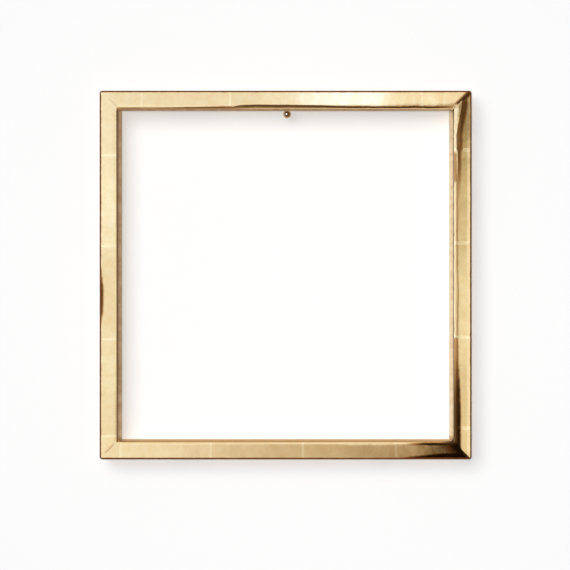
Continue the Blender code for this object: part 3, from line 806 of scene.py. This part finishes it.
def rail_section():
    """The rail's outline as (inset, depth behind the front, corner radius) points."""
    inner_start = RAIL_WIDTH - INNER_EDGE_RADIUS
    outer_top, inner_top = crown(OUTER_EDGE_RADIUS), crown(inner_start)
    points = [(0.0, RAIL_DEPTH)]
    for i in range(EDGE_STEPS + 1):
        angle = pi / 2 * i / EDGE_STEPS
        inset = OUTER_EDGE_RADIUS * (1 - cos(angle))
        points.append((inset, outer_top + OUTER_EDGE_RADIUS * (1 - sin(angle))))
    for i in range(1, FACE_STEPS):
        inset = OUTER_EDGE_RADIUS + (inner_start - OUTER_EDGE_RADIUS) * i / FACE_STEPS
        points.append((inset, crown(inset)))
    for i in range(EDGE_STEPS + 1):
        angle = pi / 2 * i / EDGE_STEPS
        inset = inner_start + INNER_EDGE_RADIUS * sin(angle)
        points.append((inset, inner_top + INNER_EDGE_RADIUS * (1 - cos(angle))))
    points.append((RAIL_WIDTH, RECESS_DEPTH))
    section = [(inset, depth, corner_radius(inset)) for inset, depth in points]
    section.append((RABBET_INSET, RECESS_DEPTH, MITRE_GAP))
    section.append((RABBET_INSET, RAIL_DEPTH, MITRE_GAP))
    return section


def rail_mesh(side):
    """A mitred rail whose moulding turns each corner on a radius."""
    corner, along_axis, inset_axis = RAILS[side]
    bm = bmesh.new()
    loops = []
    for inset, depth, radius in rail_section():
        half = []
        for i in range(CORNER_STEPS + 1):
            angle = MITRE_ANGLE * (1 - i / CORNER_STEPS)
            along = inset + radius * (1 - sin(angle)) + MITRE_GAP / sqrt(2)
            half.append((along, inset + radius * (1 - cos(angle))))
        row = half + [(LENGTHS[side] - along, across) for along, across in reversed(half)]
        level = corner + Vector((0, FRONT_Y + depth, 0))
        places = [level + along_axis * along + inset_axis * across for along, across in row]
        loops.append([bm.verts.new(place) for place in places])
    for near, far in zip(loops, loops[1:] + loops[:1]):
        for i in range(len(near) - 1):
            bm.faces.new((near[i], near[i + 1], far[i + 1], far[i]))
    bm.faces.new([row[0] for row in loops])
    bm.faces.new([row[-1] for row in loops])
    return bm


def pocket(name):
    """A shape a little larger than a V-nail and open at the wood's back."""
    bm = bmesh.new()
    bm.from_mesh(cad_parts[name].data)
    bmesh.ops.remove_doubles(bm, verts=bm.verts, dist=WELD)
    bmesh.ops.recalc_face_normals(bm, faces=bm.faces)
    bm.normal_update()
    rear = max(corner.co.y for corner in bm.verts)
    moved = [corner.co + corner.normal * corner.calc_shell_factor() * POCKET_GAP for corner in bm.verts]
    for corner, place in zip(bm.verts, moved):
        corner.co = Vector((place.x, BACK_Y + MM, place.z)) if corner.co.y > rear - POCKET_REAR else place
    return bm


def cut(piece, bm):
    """Takes a shape out of a piece's mesh."""
    bmesh.ops.recalc_face_normals(bm, faces=bm.faces)
    mesh = bpy.data.meshes.new("cutter")
    bm.to_mesh(mesh)
    bm.free()
    tool = bpy.data.objects.new("cutter", mesh)
    bpy.context.scene.collection.objects.link(tool)
    boolean = piece.modifiers.new("Cut", "BOOLEAN")
    boolean.operation = "DIFFERENCE"
    boolean.solver = "EXACT"
    boolean.object = tool
    bpy.context.view_layer.update()
    evaluated = piece.evaluated_get(bpy.context.evaluated_depsgraph_get())
    piece.data = bpy.data.meshes.new_from_object(evaluated)
    piece.data.name = piece.name
    piece.modifiers.clear()
    bpy.data.objects.remove(tool)
    bpy.data.meshes.remove(mesh)
    piece.data.shade_smooth()
    piece.data.set_sharp_from_angle(angle=radians(SHARP_ANGLE))


def rails():
    """The four rails, with pockets in their backs for the V-nails."""
    for side in RAILS:
        name = f"{side}_rail"
        look = gilded_wood(side)
        piece = finish_piece(f"{name}_gilded", rail_mesh(side), look, "frame", [name])
        for nail in sorted(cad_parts):
            if nail.startswith("v_nail") and f"_{side}" in nail:
                cut(piece, pocket(nail))


def turned(profile, centre, steps):
    """A solid turned about a line along Y from (y, radius) points, the first and last with radius 0."""
    bm = bmesh.new()
    rings = []
    for y, radius in profile:
        count = steps if radius else 1
        angles = [2 * pi * i / count for i in range(count)]
        rings.append(
            [bm.verts.new((centre.x + radius * cos(a), y, centre.z + radius * sin(a))) for a in angles]
        )
    for near, far in zip(rings, rings[1:]):
        for i in range(steps):
            j = (i + 1) % steps
            corners = [near[i % len(near)], near[j % len(near)], far[j % len(far)], far[i % len(far)]]
            bm.faces.new(list(dict.fromkeys(corners)))
    return bm


def arc(y, radius, y_reach, radius_reach, start, end, steps):
    """Profile points on a quarter of an ellipse. Angles are from the radial direction towards -Y."""
    angles = [radians(start + (end - start) * i / steps) for i in range(steps + 1)]
    return [(y - y_reach * sin(a), radius + radius_reach * cos(a)) for a in angles]


def middle(name):
    """The middle of a CAD node's box."""
    low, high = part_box(name)
    return (low + high) / 2


def nail_head(look):
    """The turned head: a dome in a shallow groove, a rounded flange and the collar behind it."""
    low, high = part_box("nail_head")
    flange_back = LEDGE_LOW.y - FLANGE_CLEARANCE
    flange_front = flange_back - FLANGE_THICKNESS
    flange_radius = (high.x - low.x) / 2
    half = FLANGE_THICKNESS / 2
    socket = PIN_RADIUS + GAP
    pin_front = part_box("nail_pin")[0].y - GAP
    profile = [(low.y, 0.0)]
    profile += arc(flange_front, 0.0, flange_front - low.y, DOME_RADIUS, POLE_ANGLE, 0, DOME_STEPS)
    profile += [(flange_front + GROOVE, DOME_RADIUS), (flange_front + GROOVE, DOME_RADIUS + GROOVE)]
    profile += arc(flange_back - half, flange_radius - half, half, half, 90, 0, FLANGE_STEPS)
    profile += [(flange_back, flange_radius - GROOVE), (flange_back, COLLAR_RADIUS)]
    profile += [(high.y - GROOVE, COLLAR_RADIUS), (high.y, COLLAR_RADIUS - GROOVE)]
    profile += [(high.y, socket), (pin_front, socket), (pin_front, 0.0)]
    bm = turned(profile, middle("nail_head"), FINE_ROUND_STEPS)
    finish_piece("nail_head_turned", bm, look, "wall_nail", ["nail_head"])


def nail_pin(look):
    """The nail's pin, which narrows to a point in the wall."""
    low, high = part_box("nail_pin")
    point = high.y - PIN_POINT
    profile = [(low.y, 0.0), (low.y, PIN_RADIUS - PIN_EASE), (low.y + PIN_EASE, PIN_RADIUS)]
    profile += [(point, PIN_RADIUS), (high.y - PIN_EASE, PIN_EASE), (high.y, 0.0)]
    bm = turned(profile, middle("nail_pin"), ROUND_STEPS)
    finish_piece("nail_pin_turned", bm, look, "wall_nail", ["nail_pin"])


def d_ring(side, look):
    """A D-ring of round wire bent on a small radius. Its straight bar is the hinge."""
    name = f"{side}_d_ring"
    low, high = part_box(name)
    centre = (low + high) / 2
    half = (high.x - low.x) / 2 - RING_WIRE
    top = high.z - RING_WIRE
    path = []
    for turn, away in ((90, -1), (0, 1)):
        for i in range(RING_BEND_STEPS + 1):
            angle = radians(turn + 90 - 90 * i / RING_BEND_STEPS)
            x = away * (half - RING_BEND) + RING_BEND * cos(angle)
            path.append(Vector((x, 0, top - RING_BEND + RING_BEND * sin(angle))))
    bow = low.z + RING_WIRE + half
    for i in range(RING_BOW_STEPS + 1):
        angle = -pi * i / RING_BOW_STEPS
        path.append(Vector((half * cos(angle), 0, bow + half * sin(angle))))
    bm = bmesh.new()
    rings = []
    back = Vector((0, 1, 0))
    angles = [2 * pi * j / WIRE_STEPS for j in range(WIRE_STEPS)]
    for i, point in enumerate(path):
        heading = (path[(i + 1) % len(path)] - path[i - 1]).normalized()
        out = Vector((heading.z, 0, -heading.x))
        place = Vector((centre.x, centre.y, 0)) + point
        spokes = [RING_WIRE * (out * cos(a) + back * sin(a)) for a in angles]
        rings.append([bm.verts.new(place + spoke) for spoke in spokes])
    for near, far in zip(rings, rings[1:] + rings[:1]):
        for j in range(WIRE_STEPS):
            k = (j + 1) % WIRE_STEPS
            bm.faces.new((near[j], near[k], far[k], far[j]))
    finish_piece(f"{name}_wire", bm, look, name, [name], WIRE_SHARP_ANGLE)


def screw(name, look):
    """A round-head screw with a slot, narrowing to a point."""
    low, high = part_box(name)
    centre = middle(name)
    head_radius = (high.x - low.x) / 2
    under = high.y - SCREW_HEAD_HEIGHT
    profile = [(low.y, 0.0), (low.y + SCREW_POINT, SCREW_RADIUS), (under, SCREW_RADIUS)]
    profile += arc(under, 0.0, -SCREW_HEAD_HEIGHT, head_radius, 0, POLE_ANGLE, SCREW_HEAD_STEPS)
    profile.append((high.y, 0.0))
    bm = turned(profile, centre, ROUND_STEPS)
    piece = finish_piece(f"{name}_turned", bm, look, "frame", [name])
    bm = bmesh.new()
    scale = Matrix.Diagonal((4 * head_radius, 2 * SLOT_DEPTH, SLOT_WIDTH, 1.0))
    turn = Matrix.Rotation(radians(SLOT_TURNS[name.count("left") + 2 * name.count("top")]), 4, "Y")
    place = Matrix.Translation((centre.x, high.y, centre.z))
    bmesh.ops.create_cube(bm, size=1.0, matrix=place @ turn @ scale)
    cut(piece, bm)


def bumper(name, look):
    """A felt disc with a soft, slightly furry outline."""
    low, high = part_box(name)
    radius = (high.x - low.x) / 2
    flat = radius - BUMPER_EASE
    shoulder = high.y - BUMPER_EASE
    steps = range(1, BUMPER_STEPS + 1)
    turn = 90 / (BUMPER_STEPS + 1)
    profile = [(low.y, 0.0)]
    profile += [(low.y, radius * i / (BUMPER_STEPS + 1)) for i in steps]
    profile.append((low.y, radius - BUMPER_RIM))
    profile += [(low.y + (shoulder - low.y) * i / BUMPER_STEPS, radius) for i in steps]
    profile += arc(shoulder, flat, -BUMPER_EASE, BUMPER_EASE, turn, 90, BUMPER_STEPS)
    profile += [(high.y, flat * i / BUMPER_STEPS) for i in reversed(steps[:-1])]
    profile.append((high.y, 0.0))
    bm = turned(profile, middle(name), FINE_ROUND_STEPS)
    bm.normal_update()
    for corner in bm.verts:
        fuzz = noise.noise(corner.co * FELT_TUFT) * 0.5 + 0.5
        corner.co -= corner.normal * fuzz * FELT_FUZZ
    finish_piece(f"{name}_felt", bm, look, "frame", [name], FELT_SHARP_ANGLE)


def soften(word, width):
    """Eases the sharp edges of the CAD nodes that stay on show and whose names hold a word."""
    for name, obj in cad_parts.items():
        if word in name and not obj.hide_render:
            edges = obj.modifiers.new("Eased edges", "BEVEL")
            edges.width = width
            edges.segments = 2
            edges.limit_method = "ANGLE"
            edges.angle_limit = radians(EASED_ANGLE)


def paint_cad(word, look):
    """Gives the CAD nodes that stay on show and whose names hold a word their material."""
    for name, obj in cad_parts.items():
        if word in name and not obj.hide_render:
            obj.data.materials.clear()
            obj.data.materials.append(look)


# Stage: wall, light and camera


def wall():
    """A white wall behind the frame. It is clear from behind, so the frame's back can be seen."""
    bm = bmesh.new()
    corners = [(-1, -1), (1, -1), (1, 1), (-1, 1)]
    places = [(WALL_HALF_WIDTH * x, WALL_Y, WALL_HALF_WIDTH * z) for x, z in corners]
    bm.faces.new([bm.verts.new(place) for place in places])
    mesh = bpy.data.meshes.new("wall")
    bm.to_mesh(mesh)
    bm.free()
    piece = bpy.data.objects.new("wall", mesh)
    bpy.context.scene.collection.objects.link(piece)
    made, net = new_material("wall_paint")
    normal = net.bump(net.noise(net.place(), *WALL_NOISE), WALL_RELIEF)
    paint = net.add("ShaderNodeBsdfDiffuse", {"Color": net.rgb(WALL_WHITE), "Normal": normal})
    clear = net.add("ShaderNodeBsdfTransparent")
    facing = net.add("ShaderNodeNewGeometry").outputs["Backfacing"]
    mixed = net.add("ShaderNodeMixShader", {0: facing, 1: paint.outputs[0], 2: clear.outputs[0]})
    net.add("ShaderNodeOutputMaterial", {"Surface": mixed.outputs[0]})
    mesh.materials.append(made)
    piece.visible_shadow = False


def lamp(name, kind, strength):
    """A light that rough surfaces see and that the gold doesn't mirror."""
    data = bpy.data.lights.new(name, kind)
    data.energy = strength
    made = bpy.data.objects.new(name, data)
    bpy.context.scene.collection.objects.link(made)
    made.visible_glossy = False
    return made


def sun(name, towards, spread, strength):
    """A sun that stands in a direction. Its disc is a spread of degrees wide."""
    made = lamp(name, "SUN", strength)
    made.data.angle = radians(spread)
    made.rotation_mode = "QUATERNION"
    made.rotation_quaternion = Vector(towards).to_track_quat("Z", "Y")


def front_light():
    """A round lamp about the camera, which softens the key's shadows and throws none that show."""
    made = lamp("front", "AREA", FRONT_WATTS)
    made.data.shape = "DISK"
    made.data.size = FRONT_SIZE
    made.location = EYE
    made.rotation_euler = TOWARDS_WALL
    made.visible_camera = False


# What the gold mirrors. A direction is (across, up): its slopes off the frame's axis, seen from the frame.
# Each panel is lit unevenly along its length: (slope, colour) stops.
TOP_PANEL = (
    (-0.100, (0.93, 1.02, 1.26)),
    (-0.040, (0.84, 0.87, 1.00)),
    (-0.010, (0.90, 0.96, 1.12)),
    (0.008, (1.02, 1.18, 1.62)),
    (0.028, (1.18, 1.58, 2.70)),
    (0.052, (1.02, 1.12, 1.34)),
    (0.090, (0.85, 0.82, 0.80)),
)
BOTTOM_PANEL = (
    (-0.100, (0.90, 0.94, 1.05)),
    (-0.060, (0.87, 0.91, 1.02)),
    (-0.038, (0.80, 0.79, 0.86)),
    (0.007, (0.62, 0.56, 0.52)),
    (0.047, (0.50, 0.43, 0.38)),
    (0.060, (0.40, 0.31, 0.23)),
    (0.070, (0.19, 0.125, 0.070)),
    (0.080, (0.035, 0.017, 0.005)),
)
LEFT_PANEL = (
    (-0.090, (0.94, 1.04, 1.24)),
    (-0.030, (0.95, 1.05, 1.26)),
    (-0.019, (0.88, 0.91, 1.00)),
    (0.011, (0.88, 0.91, 1.00)),
    (0.022, (0.98, 1.11, 1.38)),
    (0.090, (0.97, 1.08, 1.30)),
)
RIGHT_PANEL = (
    (-0.080, (0.80, 0.79, 0.75)),
    (-0.052, (0.75, 0.73, 0.67)),
    (-0.011, (0.94, 0.97, 1.02)),
    (0.011, (0.77, 0.78, 0.77)),
    (0.034, (0.65, 0.60, 0.54)),
    (0.060, (0.54, 0.48, 0.38)),
    (0.068, (0.38, 0.32, 0.20)),
    (0.0745, (0.20, 0.165, 0.085)),
    (0.082, (0.12, 0.095, 0.040)),
    (0.089, (0.05, 0.038, 0.012)),
)
WINDOW = (1.25, 1.42, 1.75)
EAST = (1.02, 1.06, 1.14)
CEILING = (0.98, 0.94, 0.86)
CORNERS = (0.80, 0.78, 0.72)
FLOOR = (0.46, 0.38, 0.27)
DARK_ROOM = (0.055, 0.028, 0.010)
WARM_STRIP = (0.34, 0.20, 0.10)
REAR_ROOM = (0.62, 0.60, 0.57)
LAMP_GLOW = (2.5, 2.8, 3.3)

# Where each part of the studio lies, as soft edges in those slopes
PANELS_MEET = (-0.030, 0.040)
TOP_PANEL_LINE = (0.060, 0.090, 0.054, 0.0875)
TOP_PANEL_EDGE = (-0.006, 0.006)
STRIP_ACROSS = 0.069
STRIP_EDGE = (0.016, 0.005)
STRIP_TOP = (0.004, -0.006)
BOTTOM_PANEL_EDGE = (-0.040, -0.052)
BOTTOM_PANEL_END = (0.112, 0.098)
EAST_EDGE = (0.190, 0.250)
EAST_TOP = (0.078, 0.052)
WINDOW_EDGE = (-0.27, -0.34)
CEILING_EDGE = (0.28, 0.40)
CORNERS_EDGE = (-0.40, -0.60)
FLOOR_EDGE = (-0.26, -0.38)
FLOOR_END = (0.50, 0.30)
DARK_ROOM_EDGE = (0.65, 0.95)
DARK_ROOM_END = (0.45, 0.30)
LAMP_ACROSS = -0.50
LAMP_UP = 0.30
LAMP_EDGE = (0.20, 0.15)
REAR_EDGE = (-0.02, 0.05)
LEAST_AHEAD = 0.02


def panel(net, value, stops):
    """A colour that changes smoothly along a panel."""
    low, high = stops[0][0], stops[-1][0]
    share = net.add("ShaderNodeMapRange", {0: value, 1: low, 2: high}).outputs[0]
    ramp = net.add("ShaderNodeValToRGB", {0: share})
    ramp.color_ramp.interpolation = "EASE"
    elements = ramp.color_ramp.elements
    elements[0].position = 0.0
    elements[0].color = net.rgb(stops[0][1])
    elements[-1].position = 1.0
    elements[-1].color = net.rgb(stops[-1][1])
    for place, colour in stops[1:-1]:
        elements.new((place - low) / (high - low)).color = net.rgb(colour)
    return ramp.outputs[0]


def mirrored(net, across, up):
    """The studio as the gold sees it: panels round the camera, a window, a ceiling and a dark room."""
    side = net.step(across, *PANELS_MEET)
    colour = net.colour(side, panel(net, up, LEFT_PANEL), panel(net, up, RIGHT_PANEL))
    above = net.minus(up, net.step(across, *TOP_PANEL_LINE))
    colour = net.colour(net.step(above, *TOP_PANEL_EDGE), colour, panel(net, across, TOP_PANEL))
    strip = net.times(net.step(net.apart(across, STRIP_ACROSS), *STRIP_EDGE), net.step(above, *STRIP_TOP))
    colour = net.colour(strip, colour, WARM_STRIP)
    below = net.times(net.step(up, *BOTTOM_PANEL_EDGE), net.step(across, *BOTTOM_PANEL_END))
    colour = net.colour(below, colour, panel(net, across, BOTTOM_PANEL))

    east = net.times(net.step(across, *EAST_EDGE), net.step(up, *EAST_TOP))
    colour = net.colour(east, colour, EAST)
    colour = net.colour(net.step(across, *WINDOW_EDGE), colour, WINDOW)
    colour = net.colour(net.step(up, *CEILING_EDGE), colour, CEILING)
    colour = net.colour(net.step(up, *CORNERS_EDGE), colour, CORNERS)
    low = net.times(net.step(up, *FLOOR_EDGE), net.step(net.math("ABSOLUTE", across), *FLOOR_END))
    colour = net.colour(low, colour, FLOOR)
    dark = net.times(net.step(across, *DARK_ROOM_EDGE), net.step(net.math("ABSOLUTE", up), *DARK_ROOM_END))
    colour = net.colour(dark, colour, DARK_ROOM)
    off_lamp = {0: net.minus(across, LAMP_ACROSS), 1: net.minus(up, LAMP_UP)}
    from_lamp = net.length(net.add("ShaderNodeCombineXYZ", off_lamp).outputs[0])
    return net.colour(net.step(from_lamp, *LAMP_EDGE), colour, LAMP_GLOW)


def studio():
    """A pale backdrop for the camera, an even fill for rough surfaces and panels for the gold to mirror."""
    world = bpy.data.worlds.new("studio")
    bpy.context.scene.world = world
    world.use_nodes = True
    world.cycles.sampling_method = "NONE"
    net = Net(world.node_tree)
    x, y, z = net.parts(net.add("ShaderNodeTexCoord").outputs["Generated"])
    ahead = net.most(net.times(y, -1.0), LEAST_AHEAD)
    panels = mirrored(net, net.math("DIVIDE", x, ahead), net.math("DIVIDE", z, ahead))
    panels = net.colour(1.0, panels, PANEL_LIGHT, "MULTIPLY")
    panels = net.colour(net.step(y, *REAR_EDGE), panels, REAR_ROOM)
    rays = net.add("ShaderNodeLightPath")
    seen = net.colour(rays.outputs["Is Glossy Ray"], FILL, panels)
    seen = net.colour(rays.outputs["Is Camera Ray"], seen, BACKDROP)
    background = net.add("ShaderNodeBackground", {"Color": seen})
    net.add("ShaderNodeOutputWorld", {"Surface": background.outputs[0]})


def camera():
    """A camera square on to the frame's face."""
    data = bpy.data.cameras.new("camera")
    data.sensor_width = SENSOR
    data.lens = SENSOR * VIEW_DISTANCE / VIEW_WIDTH
    data.clip_start = NEAR_CLIP
    data.clip_end = FAR_CLIP
    view = bpy.data.objects.new("camera", data)
    bpy.context.scene.collection.objects.link(view)
    view.location = EYE
    view.rotation_euler = TOWARDS_WALL
    bpy.context.scene.camera = view


def build_object():
    """All of the pieces, and the final materials of the CAD nodes that stay on show."""
    rails()
    brass = plain_metal("satin_brass", BRASS, BRASS_ROUGHNESS)
    steel = plain_metal("blued_steel", STEEL, STEEL_ROUGHNESS)
    zinc = zinc_plate()
    fur = felt()
    nail_head(nail_bronze())
    nail_pin(steel)
    for side in ("left", "right"):
        d_ring(side, zinc)
    for name in sorted(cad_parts):
        if name.endswith("_strap_screw"):
            screw(name, zinc)
        elif name.endswith("_button_screw"):
            screw(name, brass)
        elif name.endswith("_bumper"):
            bumper(name, fur)
    soften("_strap", STRAP_EDGE)
    soften("_button", BUTTON_EDGE)
    # The ledge's pins have both words in their names, so the steel comes after the ledge's gold
    for word, look, slot in (
        ("_ledge", toned_gold_and_painted_shade(), "toned_ledge"),
        ("_pin", steel, "steel"),
        ("v_nail", steel, "steel"),
        ("strap", zinc, "zinc_plate"),
        ("button", brass, "brass"),
    ):
        paint_cad(word, look)


def build_stage():
    """The wall, the lights and the camera."""
    wall()
    sun("key", KEY_FROM, KEY_SPREAD, KEY_STRENGTH)
    sun("back", BACK_FROM, BACK_SPREAD, BACK_STRENGTH)
    front_light()
    studio()
    camera()
    bpy.context.scene.view_settings.view_transform = "Standard"


build_object()
build_stage()
